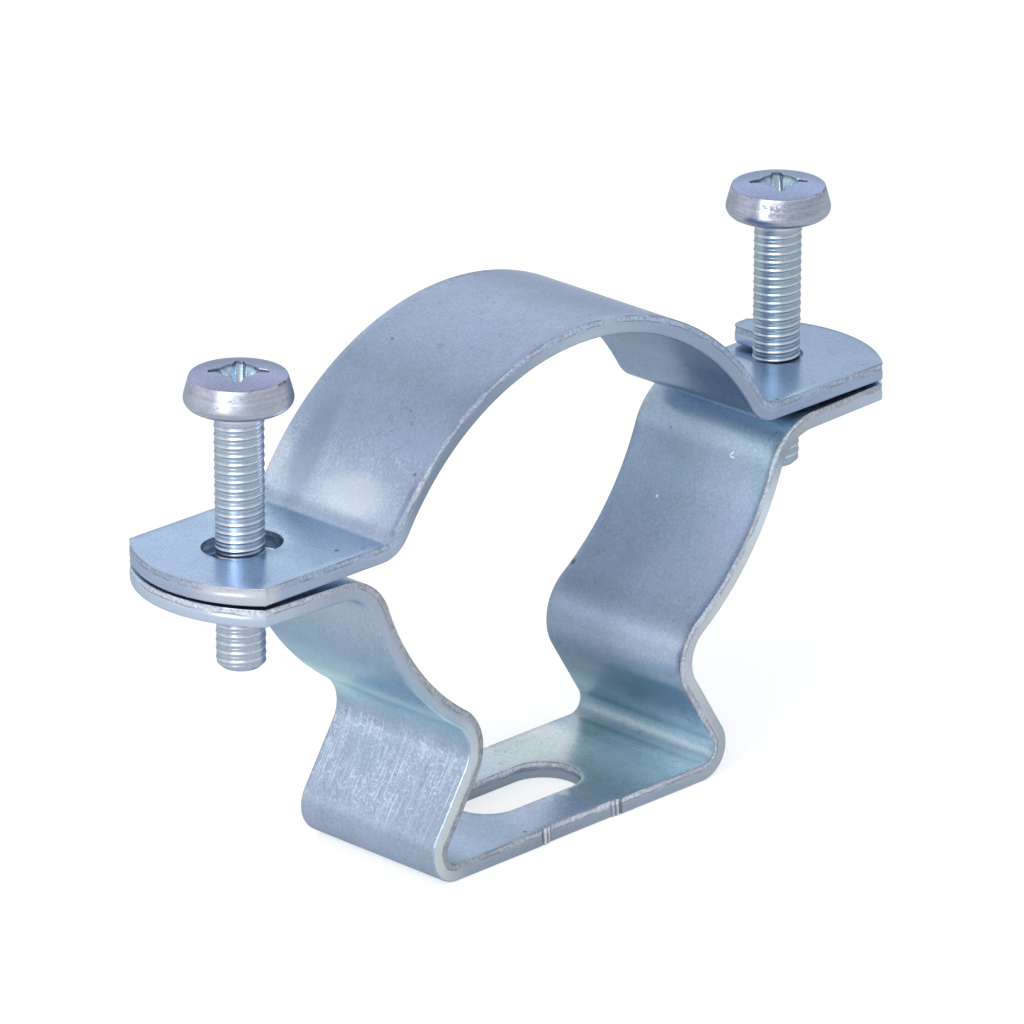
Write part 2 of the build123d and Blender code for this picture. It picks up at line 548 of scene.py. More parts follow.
# %% Tree that bends a blank along a path
bending, bend_in = named_tree("bend along path", "GeometryNodeTree", [
    ("Geometry", "NodeSocketGeometry", None),
    ("Path", "NodeSocketObject", None),
    ("Half length", "NodeSocketFloat", 0.06),
    ("Material", "NodeSocketMaterial", None),
], [("Geometry", "NodeSocketGeometry")])
flat_place = bending.output("GeometryNodeInputPosition")
kept = bending.output("GeometryNodeStoreNamedAttribute", {
    "Geometry": bend_in["Geometry"], "Name": "flat", "Value": flat_place,
}, data_type="FLOAT_VECTOR", domain="POINT")
along, across, depth = flat_place.split()
path_info = bending.outputs("GeometryNodeObjectInfo", {"Object": bend_in["Path"]})
station = bending.outputs("GeometryNodeSampleCurve", {
    "Curves": path_info["Geometry"], "Length": along + bend_in["Half length"],
}, mode="LENGTH", use_all_curves=True)
out_of_path = station["Tangent"].vector("CROSS_PRODUCT", (0, 1, 0))
offset = out_of_path.scaled(depth).vector("ADD", bending.combined(y=across))
bent = bending.output("GeometryNodeSetPosition", {
    "Geometry": kept, "Position": station["Position"].vector("ADD", offset),
})
end_tree(bending, bent, bend_in["Material"])
print("bending tree has", len(bending.tree.nodes), "nodes")


def path_object(name, stations):
    """The path as a curve object, from the left end to the right one, and half its length."""
    points = [(-x, z) for _, x, z in reversed(stations[1:])] + [(x, z) for _, x, z in stations]
    curve = bpy.data.curves.new(name, "CURVE")
    curve.dimensions = "3D"
    spline = curve.splines.new("POLY")
    spline.points.add(len(points) - 1)
    for point, (x, z) in zip(spline.points, points):
        point.co = (x, 0, z, 1)
    made = bpy.data.objects.new(name, curve)
    bpy.context.scene.collection.objects.link(made)
    return made, sum(math.dist(a, b) for a, b in zip(points, points[1:])) / 2


# %% Bend both straps
def bent_strap(part, blank, path, metal):
    """Bends a blank, compares it with the solid, and lets it stand for that solid."""
    guide, half = path_object(part + "_path", path.stations)
    values = {"Path": guide, "Half length": half, "Material": metal}
    strap = run_tree(blank, bending.tree, values, part + "_pressed")
    bpy.data.objects.remove(guide)
    strap.data.set_sharp_from_angle(angle=math.radians(38))
    low = [min(v.co[k] for v in strap.data.vertices) for k in range(3)]
    high = [max(v.co[k] for v in strap.data.vertices) for k in range(3)]
    solid_low, solid_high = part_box(part)
    gaps = [round((a - b) / MM, 3) for a, b in zip((*low, *high), (*solid_low, *solid_high))]
    print(part, "differs from the solid's box by", gaps, "mm")
    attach(strap, part)
    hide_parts(part)


lower_metal = bpy.data.materials.new("zinc_on_lower_strap")
upper_metal = bpy.data.materials.new("zinc_on_upper_strap")
bent_strap("lower_strap", lower_blank, lower_path, lower_metal)
bent_strap("upper_strap", upper_blank, upper_path, upper_metal)

# %% [markdown]
# ## The screws
# Each screw is cold-headed wire with a rolled M4 thread. The head is a shape turned
# round an axis, apart from the cross recess. A Boolean cut would leave ragged long
# faces on the domed top, so the head is built as rings instead, whose radius changes
# with the angle: the rings follow the cross inside the recess and become circles
# outside it. Sizes of the head are in mm from the middle of its underside.

# %% Head with its cross recess
head_height = 2.95
head_radius = 4.25
shoulder_height = 0.75
shoulder_round = 0.769
shoulder_sweep = 77.4
dome_edge = 3.68
rim_radius = 3.8
dome_rise = 0.45
dome_radius = (rim_radius**2 + dome_rise**2) / (2 * dome_rise)
recess_depth = 2.0
recess_point = 0.12
recess_top_radius = 2.45
recess_floor_radius = 0.9
recess_roll_in = 0.11
arm_half_width = 0.56
arm_taper = 0.19
core_radius = 1.55
core_taper = 0.24
corner_sharpness = 14
draft = math.tan(math.radians(6))


def dome_height(radius):
    """Height of the domed top above the head's underside."""
    return head_height - (dome_radius - math.sqrt(dome_radius**2 - radius**2))


def cross_radius(angle, sink):
    """Radius of the recess outline at an angle, sink mm below the head's top."""
    start = arm_half_width + arm_taper - draft * sink
    reach = recess_top_radius + (recess_floor_radius - recess_top_radius) * sink / recess_depth
    turned = abs((angle + math.pi / 4) % (math.pi / 2) - math.pi / 4)
    # The side of an arm is the line y = start - taper * x, and the core joins the arms in a round
    arm = min(reach, start / (math.sin(turned) + arm_taper * math.cos(turned)))
    core = core_radius * (1 - core_taper * sink)
    return (arm**corner_sharpness + core**corner_sharpness) ** (1 / corner_sharpness)


def head_angles():
    """Angles of the head's columns, close together at the sides of each arm."""
    half_arm = math.asin((arm_half_width + arm_taper * (1 - recess_top_radius)) / recess_top_radius)
    past_arm = half_arm * 1.06
    gap = math.pi / 2 - 2 * past_arm
    angles = []
    for quarter in range(4):
        arm = quarter * math.pi / 2
        angles += [arm + side * half_arm * f for side in (-1, 1) for f in (0.4, 0.7, 0.94, 1.0, 1.06)]
        angles += [arm] + [arm + past_arm + gap * i / 24 for i in range(1, 24)]
    return sorted(angles)


def head_levels(angles):
    """Rings of the head, from the recess's floor over the dome to the neck, as (radius, height) lists."""
    levels = []
    for sink in (2.0, 1.97, 1.7, 1.3, 0.9, 0.6, 0.45, 0.35):
        levels.append([(cross_radius(a, sink), head_height - sink) for a in angles])
    rim = [cross_radius(a, 0.2) for a in angles]
    for grow, drop in ((0.0, 0.09), (0.02, 0.04), (0.06, 0.01), (recess_roll_in, 0.0)):
        levels.append([(r + grow, dome_height(r + grow) - drop) for r in rim])
    for share in (0.03, 0.12, 0.3, 0.5, 0.7, 0.85, 0.95):
        radii = [r + recess_roll_in + (dome_edge - r - recess_roll_in) * share for r in rim]
        levels.append([(r, dome_height(r)) for r in radii])
    circles = [
        (dome_edge, dome_height(dome_edge)), (3.74, 2.508), (3.785, 2.478), (3.815, 2.43), (3.85, 2.32),
        (3.96, 1.93), (4.07, 1.55), (4.17, 1.16), (4.225, 0.93),
    ]
    for i in range(9):
        angle = math.radians(shoulder_sweep * i / 8)
        radius = head_radius - shoulder_round * (1 - math.cos(angle))
        circles.append((radius, shoulder_height - shoulder_round * math.sin(angle)))
    circles += [(3.62, 0.004), (3.5, 0.0), (2.6, 0.0), (2.3, 0.0)]
    circles += [(2.12, -0.03), (2.0, -0.12), (1.93, -0.3)]
    return levels + [[circle] * len(angles) for circle in circles]


print("head has", len(head_levels(head_angles())), "rings of", len(head_angles()), "points")


# %% Mesh of the head
def head_mesh(bm, turn):
    """Adds the head's rings to a mesh, its underside at Z = 0, and returns the open ring at the neck."""
    angles = head_angles()
    rings = []
    for level in head_levels(angles):
        rings.append([
            bm.verts.new((r * MM * math.cos(a + turn), r * MM * math.sin(a + turn), h * MM))
            for a, (r, h) in zip(angles, level)
        ])
    floor_point = bm.verts.new((0, 0, (head_height - recess_depth - recess_point) * MM))
    count = len(angles)
    for i in range(count):
        bm.faces.new((floor_point, rings[0][i], rings[0][(i + 1) % count]))
    for inner, outer in zip(rings, rings[1:]):
        for i in range(count):
            j = (i + 1) % count
            bm.faces.new((inner[i], outer[i], outer[j], inner[j]))
    return rings[-1]


# %% [markdown]
# ## Rolled thread with Geometry Nodes
# A thread follows a rule: the surface rises and falls once per pitch, and the pattern
# moves up by one pitch in a turn. The tree starts from a flat grid, rolls it into a
# tube and sets each point's radius from its height and angle. Its inputs are the sizes
# that a thread has in a table: outer diameter, depth, pitch and length. On the real
# screw a fainter line runs round between the crests, so the tree also raises a fine
# ridge in the middle of each root.
#
# A swept spiral is the usual other way, but it leaves two shells pushed through each
# other; the rolled grid is one skin with its crests, roots, run-out and chamfer.

# %% Thread tree
rolling, thread_in = named_tree("rolled thread", "GeometryNodeTree", [
    ("Geometry", "NodeSocketGeometry", None),
    ("Crest radius", "NodeSocketFloat", 1.95 * MM),
    ("Depth", "NodeSocketFloat", 0.075 * MM),
    ("Root ridge", "NodeSocketFloat", 0.3),
    ("Pitch", "NodeSocketFloat", 0.7 * MM),
    ("Top", "NodeSocketFloat", -0.3 * MM),
    ("Length", "NodeSocketFloat", 20.9 * MM),
    ("Run-out", "NodeSocketFloat", 0.6 * MM),
    ("Chamfer", "NodeSocketFloat", 0.45 * MM),
    ("Turn", "NodeSocketFloat", 0.0),
    ("Rows", "NodeSocketInt", 600),
    ("Columns", "NodeSocketInt", 65),
    ("Material", "NodeSocketMaterial", None),
], [("Geometry", "NodeSocketGeometry")])
grid = rolling.output("GeometryNodeMeshGrid", {
    "Size X": 1.0, "Size Y": 1.0, "Vertices X": thread_in["Columns"], "Vertices Y": thread_in["Rows"],
})
column, row, _ = rolling.output("GeometryNodeInputPosition").split()
round_share = column + 0.5
from_top = (0.5 - row) * thread_in["Length"]
from_tip = thread_in["Length"] - from_top
height = thread_in["Top"] - from_top
angle = round_share * (2 * math.pi) + thread_in["Turn"]

# The wave is 0 on a crest and 1 in the middle of a root
turns_up = height / thread_in["Pitch"] - round_share
wave = abs(turns_up.maths("FRACT") * 2.0 - 1.0)
ridge = wave.ramp(0.72, 1.0, 0.0, thread_in["Root ridge"])
groove = wave.ramp(0.0, 0.5) - ridge
run_out = (from_top - 0.25 * MM).maths("DIVIDE", thread_in["Run-out"], clamp=True)
threaded = thread_in["Crest radius"] - groove * run_out * thread_in["Depth"]
cone = thread_in["Crest radius"] - thread_in["Chamfer"] + from_tip
radius = threaded.maths("MINIMUM", cone) * (from_tip > 0.001 * MM)
rolled = rolling.combined(radius * angle.maths("COSINE"), radius * angle.maths("SINE"), height)
tube = rolling.output("GeometryNodeSetPosition", {"Geometry": grid, "Position": rolled})
merged = rolling.output("GeometryNodeMergeByDistance", {"Geometry": tube, "Distance": 1e-6})
end_tree(rolling, merged, thread_in["Material"])
print("thread tree has", len(rolling.tree.nodes), "nodes")


# %% Join head and shank
def make_screw(part, x, lift, turn, metal):
    """One screw, its head and thread in one skin, with (angle, radius, height) as its flat attribute."""
    blank = bpy.data.objects.new(part + "_thread", bpy.data.meshes.new(part + "_thread"))
    thread = run_tree(blank, rolling.tree, {"Turn": turn, "Material": metal}, part + "_shank")
    bm = bmesh.new()
    bm.from_mesh(thread.data)
    bpy.data.objects.remove(thread)
    bmesh.ops.recalc_face_normals(bm, faces=bm.faces)
    open_shank = [e for e in bm.edges if e.is_boundary]
    neck = head_mesh(bm, turn)
    bm.verts.index_update()
    open_neck = [e for e in {e for v in neck for e in v.link_edges} if e.is_boundary]
    bmesh.ops.bridge_loops(bm, edges=open_shank + open_neck)
    bmesh.ops.recalc_face_normals(bm, faces=bm.faces)
    print(part, "open edges:", sum(e.is_boundary for e in bm.edges))
    flat = bm.verts.layers.float_vector.new("flat")
    for v in bm.verts:
        v[flat] = (math.atan2(v.co.y, v.co.x), math.hypot(v.co.x, v.co.y), v.co.z)
    bmesh.ops.transform(bm, matrix=Matrix.Translation((x, 0, flange_top + lift)), verts=bm.verts)
    mesh = bpy.data.meshes.new(part + "_headed")
    bm.to_mesh(mesh)
    bm.free()
    mesh.materials.append(metal)
    mesh.shade_smooth()
    mesh.set_sharp_from_angle(angle=math.radians(50))
    screw = bpy.data.objects.new(part + "_headed", mesh)
    bpy.context.scene.collection.objects.link(screw)
    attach(screw, part)
    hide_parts(part)
    print(part, len(mesh.polygons), "faces")


screw_metal = bpy.data.materials.new("zinc_plated_screw")
make_screw("screw_left", -screw_x, 11.6 * MM, math.radians(44), screw_metal)
make_screw("screw_right", screw_x, 12.0 * MM, math.radians(48), screw_metal)

# %% [markdown]
# ## Zinc plating as shader groups
# Bright zinc with a blue passivation is a soft metal film on rolled steel. Four things
# make it look real: slow clouds of blue, violet and teal where the film is thicker or
# thinner, a fine speckle from the crystals, hairline scratches from handling, and small
# dark pits. Both straps and both screws have them, each at its own scale, so each is a
# group with named inputs. A photograph mapped on the metal would show them too, but it
# would slide at the bends and could not be resized.


# %% Helpers for finishes
class Paint(Wiring):
    """Wiring with the nodes that finishes need. Colours are (red, green, blue) or signals."""

    def mix(self, share, a, b, mode="MIX"):
        """Mix of two colours: all a where the share is 0, all b where it is 1."""
        a, b = ((*c, 1) if isinstance(c, tuple) else c for c in (a, b))
        return self.output("ShaderNodeMix", {0: share, 6: a, 7: b}, 2, data_type="RGBA", blend_type=mode)

    def tinted(self, colour, tint):
        return self.mix(1.0, colour, tint, "MULTIPLY")

    def grey(self, value):
        return self.output("ShaderNodeCombineColor", {0: value, 1: value, 2: value})

    def attribute(self, name, result):
        return self.output("ShaderNodeAttribute", None, result, attribute_name=name)

    def place_in_mm(self):
        return self.output("ShaderNodeTexCoord", None, "Object").scaled(1000.0)

    def put(self, group, inputs):
        """Outputs of a group whose inputs are filled or joined."""
        return self.outputs("ShaderNodeGroup", inputs, node_tree=group)

    def colour_by(self, value, low, high, marks, interpolation="LINEAR"):
        """Colour from (value, colour) marks between low and high. A mark may be one grey, and up to 2."""
        made = self.node("ShaderNodeValToRGB", {0: (value - low) / (high - low)})
        made.color_ramp.interpolation = interpolation
        stops = made.color_ramp.elements
        while len(stops) < len(marks):
            stops.new(0.5)
        for stop, (at, colour) in zip(stops, marks):
            red, green, blue = colour if isinstance(colour, tuple) else (colour, colour, colour)
            stop.position = (at - low) / (high - low)
            stop.color = (red / 2, green / 2, blue / 2, 1)
        return Signal(self, made.outputs[0]).scaled(2.0)


# %% Groups and materials
def shader_group(name, inputs, outputs):
    """Shader node group with named sockets: its wiring and its inputs."""
    wiring, group_inputs = named_tree(name, "ShaderNodeTree", inputs, outputs)
    return Paint(wiring.tree), group_inputs


def open_material(material):
    """Wiring of a metal's tree and the inputs of its shader."""
    material.use_nodes = True
    shader = material.node_tree.nodes["Principled BSDF"]
    shader.inputs["Metallic"].default_value = 1.0
    return Paint(material.node_tree), shader.inputs


# %% Film clouds and speckle
plating, film_in = shader_group("plating_film", [
    ("Place", "NodeSocketVector", None),
    ("Metal", "NodeSocketColor", (0.50, 0.60, 0.67, 1)),
    ("Cloud", "NodeSocketColor", (1.07, 1.0, 1.06, 1)),
    ("Cloud scale", "NodeSocketFloat", 0.09),
    ("Speckle", "NodeSocketFloat", 0.20),
    ("Speckle scale", "NodeSocketFloat", 5.0),
], [("Color", "NodeSocketColor")])
film_place = film_in["Place"]
cloud = film_place.noise(film_in["Cloud scale"], 3.0, 0.6).ramp(0.38, 0.64)
clouded = plating.mix(cloud, film_in["Metal"], film_in["Cloud"], "MULTIPLY")
speck = film_place.noise(film_in["Speckle scale"], 3.0, 0.75) - 0.5
mottle = film_place.noise(0.9, 4.0, 0.65) * 0.20 + film_place.noise(0.17) * 0.22
tone = mottle + speck * film_in["Speckle"] * 4.0 + 0.79
plating.node("NodeGroupOutput", {"Color": plating.tinted(clouded, plating.grey(tone))})
print("plating film has", len(plating.tree.nodes), "nodes")

# %% Hairline scratches
scratching, hair_in = shader_group("hairlines", [
    ("Place", "NodeSocketVector", None),
    ("Across", "NodeSocketFloat", 4.0),
    ("Along", "NodeSocketFloat", 0.05),
    ("Threshold", "NodeSocketFloat", 0.64),
], [("Mask", "NodeSocketFloat"), ("Relief", "NodeSocketFloat")])
hair_run = scratching.combined(hair_in["Along"], hair_in["Across"], 0.35)
hair = hair_in["Place"].stretched(hair_run).noise(1.0, 4.0, 0.7, 0.15)
hair_mask = scratching.output("ShaderNodeMapRange", {
    "Value": hair, "From Min": hair_in["Threshold"], "From Max": hair_in["Threshold"] + 0.06,
})
scratching.node("NodeGroupOutput", {"Mask": hair_mask, "Relief": hair - 0.5})
print("hairlines have", len(scratching.tree.nodes), "nodes")

# %% Pits and specks
pitting, pit_in = shader_group("pits", [
    ("Place", "NodeSocketVector", None),
    ("Spacing", "NodeSocketFloat", 0.35),
    ("Size", "NodeSocketFloat", 0.07),
], [("Mask", "NodeSocketFloat")])
nearest = pitting.outputs("ShaderNodeTexVoronoi", {"Vector": pit_in["Place"], "Scale": pit_in["Spacing"]})
ragged = nearest["Distance"] + pit_in["Place"].noise(2.5) * 0.03
own_size = pitting.output("ShaderNodeSeparateColor", {0: nearest["Color"]})
pit_radius = pit_in["Size"] * own_size + 0.012
pitting.node("NodeGroupOutput", {"Mask": ragged.maths("LESS_THAN", pit_radius)})
print("pits have", len(pitting.tree.nodes), "nodes")

# %% [markdown]
# ## Broad faces of the straps
# The broad faces carry the film, its speckle and scratches. The film's tint changes
# along the strip, and most of that is painted light and shade: bends and faces that
# catch more light are made lighter in colour, and those that catch less are darker. The
# lower legs are scuffed where they slid over the tool, and their pale lines and specks
# also paint sheen and glints. A few stains and nicks came with handling, and a darker
# patch and two painted highlights lie on the arch. Each of these follows the strip round
# its bends, so they are drawn on the flat attribute: along, across and depth in mm. A
# painted image could hold all this, but these few values can be read and changed.


# %% Film of a strap
# Tints run this many mm from the middle of a strip, which is just past its ends
strip_reach = 64


def strap_places(paint):
    """What a point of a strap knows about its place: all in mm, and the wall as a share."""
    at = SimpleNamespace(place=paint.place_in_mm())
    at.flat = paint.attribute("flat", "Vector").scaled(1000.0)
    at.along, at.across, at.depth = at.flat.split()
    at.far = abs(at.along)
    at.on_top = at.depth > 0.0
    at.wall = paint.attribute("wall", "Fac")
    at.on_wall = at.wall.ramp(0.35, 0.8)
    return at


def strap_film(paint, at, finish):
    """Film with painted light and shade along the strip, and that film with more of it along and across."""
    upper = paint.colour_by(at.far, 0, strip_reach, finish.upper_side, "EASE")
    under = paint.colour_by(at.far, 0, strip_reach, finish.under_side, "EASE")
    metal = paint.mix(at.on_top, under, upper)
    film = paint.put(plating.tree, {"Place": at.place, "Metal": metal})["Color"]
    face = paint.tinted(film, paint.colour_by(at.along, -strip_reach, strip_reach, finish.uneven))
    # Painted light and shade across the strip: on the right half, from 10.5 mm along,
    # the upper side is painted lighter at the front edge and darker at the back
    hung_tint = paint.mix(at.across.ramp(-7, 4), (1.45, 1.42, 1.38), (0.50, 0.55, 0.62))
    hung_share = at.along.ramp(10.5, 12.5, 0.0, finish.hung) * at.on_top
    return film, paint.mix(hung_share, face, paint.tinted(face, hung_tint))


# %% Scuffs of a strap
def strap_scuffs(paint, at, finish, face):
    """Hairlines everywhere, and on the rubbed stretch pale drawn lines and specks, partly painted sheen and
    glints.
    """
    hair = paint.put(scratching.tree, {"Place": at.flat})
    drawn = paint.put(scratching.tree, {"Place": at.flat, "Across": 8.0, "Along": 0.30, "Threshold": 0.54})
    start, end, side, share, drawn_share = finish.rubbed
    worn = at.place.noise(0.35, 3.0).ramp(0.38, 0.60, 0.40, 1.0)
    stretch = at.far.ramp(start, start + 2) * at.far.ramp(end, end + 2, 1.0, 0.0)
    rub = stretch * (at.depth * side > 0.0) * worn
    specks = at.place.noise(3.4, 3.0, 0.7).ramp(0.52, 0.62)
    marks = (drawn["Mask"] * drawn_share).maths("MAXIMUM", specks * 0.8)
    # The pale colour marks scratches, and it also paints the sheen and glints of the rubbed stretch
    scratched = hair["Mask"] * 0.12 + rub * marks * share
    relief = hair["Relief"] * 0.002 + drawn["Relief"] * rub * 0.010
    return paint.mix(scratched, face, (0.83, 0.90, 0.97)), relief


# %% Stains, pits, nicks and painted patches of a strap
def strap_stains(paint, at, face):
    """Broken outlines of dried drops, and dark pits. Returns the face and the pits' mask."""
    drops = abs(at.place.noise(0.30, 4.0, 0.6, 0.4) - 0.5)
    broken = at.place.noise(0.13, 1.0).ramp(0.53, 0.58) * at.place.noise(2.2).ramp(0.45, 0.55)
    stain = drops.ramp(0.002, 0.008, 1.0, 0.0) * broken
    pits = paint.put(pitting.tree, {"Place": at.place})["Mask"]
    face = paint.mix(stain * 0.45, face, (0.17, 0.18, 0.20))
    return paint.mix(pits * 0.55, face, (0.10, 0.09, 0.10)), pits


def strap_nicks(paint, at, nicks, face):
    """Spots and painted light on the upper side: ellipses of (along, across, half sizes, slant, shade,
    share).
    """
    for along, across, half_long, half_wide, slant, shade, share in nicks:
        turn = math.radians(slant)
        local = at.flat.vector("SUBTRACT", (along, across, 0.75))
        long_axis = (math.cos(turn) / half_long, math.sin(turn) / half_long, 0.0)
        wide_axis = (-math.sin(turn) / half_wide, math.cos(turn) / half_wide, 1.0)
        pair = [local.vector("DOT_PRODUCT", axis, "Value") for axis in (long_axis, wide_axis)]
        reach = paint.combined(*pair).vector("LENGTH", result="Value")
        face = paint.mix(reach.ramp(0.4, 1.0, share, 0.0), face, shade)
    return face


# %% [markdown]
# ## Sheared edges of the straps
# The edges are different metal altogether: torn and grainy in one band, polished by the
# blade in the other, with a dark fracture line where one ends and the other starts. The
# wall attribute tells the edge from the face, and the depth says which band a point is
# in. A bevel shader could brighten any edge, but it can't tell one side of a cut from
# the other.

# %% Sheared edge of a strap
grain_size = 7.0
fracture_depth = 0.26


def strap_edge(paint, at, finish, film):
    """Colour of the edge, the mask of its torn band and the tear's noise."""
    waver = at.flat.stretched((0.7, 0.7, 0.0)).noise(1.0, 3.0)
    border = at.depth + (waver - 0.5) * 0.30
    torn = border.ramp(0.10, 0.42)
    skewed = paint.combined(at.along * 4.0 + at.depth * 1.5, at.across * 4.0, at.depth * 3.0)
    tear = skewed.noise(1.0, 5.0, 0.8)
    torn_colour, torn_tones = finish.torn
    # The tones along the strip paint light and shade on the torn band
    rough = paint.tinted(torn_colour, paint.colour_by(at.along, -strip_reach, strip_reach, torn_tones))
    rough = paint.tinted(rough, paint.grey(tear.ramp(0.38, 0.62, 0.70, 1.25)))
    rough = paint.mix(0.12, rough, (0.56, 0.60, 0.66))
    # Painted shadow of the burr: dark patches along the top of the torn band
    patches = at.flat.stretched((0.25, 0.25, 0)).noise(1.0, 3.0).ramp(0.46, 0.54)
    rough = paint.mix(at.depth.ramp(0.60, 0.70) * patches * 0.5, rough, (0.12, 0.105, 0.10))
    polished_colour, polished_tones = finish.polished
    # The tones along the strip paint highlights and shade on the polished band
    tones = paint.colour_by(at.along, -strip_reach, strip_reach, polished_tones)
    polished = paint.mix(0.2, paint.tinted(polished_colour, tones), film)
    edge = paint.mix(torn, polished, rough)

    breaks = at.flat.stretched((0.5, 0.5, 0)).noise(1.0, 3.0).ramp(0.42, 0.56)
    fracture = abs(border - fracture_depth).ramp(0.02, 0.07, 0.65, 0.0) * breaks
    edge = paint.mix(fracture, edge, (0.20, 0.19, 0.20))
    # Painted highlight on the front of the left bowed end
    left_bow = at.along.ramp(-finish.bow_from, -finish.bow_from - 1.5)
    edge = paint.mix(left_bow * at.across.ramp(-1, -5) * 0.6, edge, (0.80, 0.81, 0.82))
    # Painted highlight and shadow lines across the edge at the pinch ridges
    for place, half_wide, shade in finish.ridges:
        line = abs(at.far - place).ramp(half_wide * 0.5, half_wide * 1.5, 0.75, 0.0)
        edge = paint.mix(line * (abs(at.across) > 6.9), edge, shade)
    return edge, torn * at.on_wall, tear


# %% The straps' whole metal
def strap_metal(material, finish):
    """Zinc on one strap: colour, roughness and relief, all over its faces and edges."""
    paint, shader = open_material(material)
    at = strap_places(paint)
    film, face = strap_film(paint, at, finish)
    face, scratch_relief = strap_scuffs(paint, at, finish, face)
    face, pits = strap_stains(paint, at, face)
    face = strap_nicks(paint, at, finish.nicks, face)
    edge, torn, tear = strap_edge(paint, at, finish, film)
    paint.join(paint.mix(at.on_wall, face, edge), shader["Base Color"])

    grain = at.place.noise(grain_size, 3.0, 0.7)
    rolled_over = at.wall.ramp(0.03, 0.25) * at.depth.ramp(-0.45, -0.6)
    tooled = at.far.ramp(12, 14.5) * at.far.ramp(17.5, 20, 0.12, 0.0)
    waist = at.far.ramp(24.5, 27.5) * at.far.ramp(31, 34, 0.18, 0.0)
    creased = waist * (1.0 - at.on_top)
    roughness = grain * 0.10 + 0.21 + torn * 0.22 + rolled_over * 0.16 + tooled + creased
    paint.join(roughness, shader["Roughness"])

    waves = at.place.noise(0.28, 1.0) * 0.010
    relief = waves + grain * 0.007 + scratch_relief + tear * torn * 0.016 - pits * 0.004
    bump = paint.output("ShaderNodeBump", {"Height": relief, "Distance": MM, "Strength": 1.0})
    paint.join(bump, shader["Normal"])
    shader["Specular Tint"].default_value = (0.72, 0.78, 0.84, 1)
    print(material.name, "has", len(paint.tree.nodes), "nodes")


# %% [markdown]
# ## The finish of each strap
# These are the values that the functions above ask for. Tints are given for distances
# along the strip in mm, counted from its middle: for both halves alike on the upper and
# the under side, and with a minus sign for the left half in the painted light along the
# strip and in the tones of the two edge bands. Most tints and tones are painted light and
# shade, lighter where the strip catches more light and darker where it catches less. A
# tone or tint of 1 changes nothing. The rubbed stretch is (from, to, side, share, share of
# drawn lines), with side 1 for the upper side; its pale lines and specks also paint sheen
# and glints.

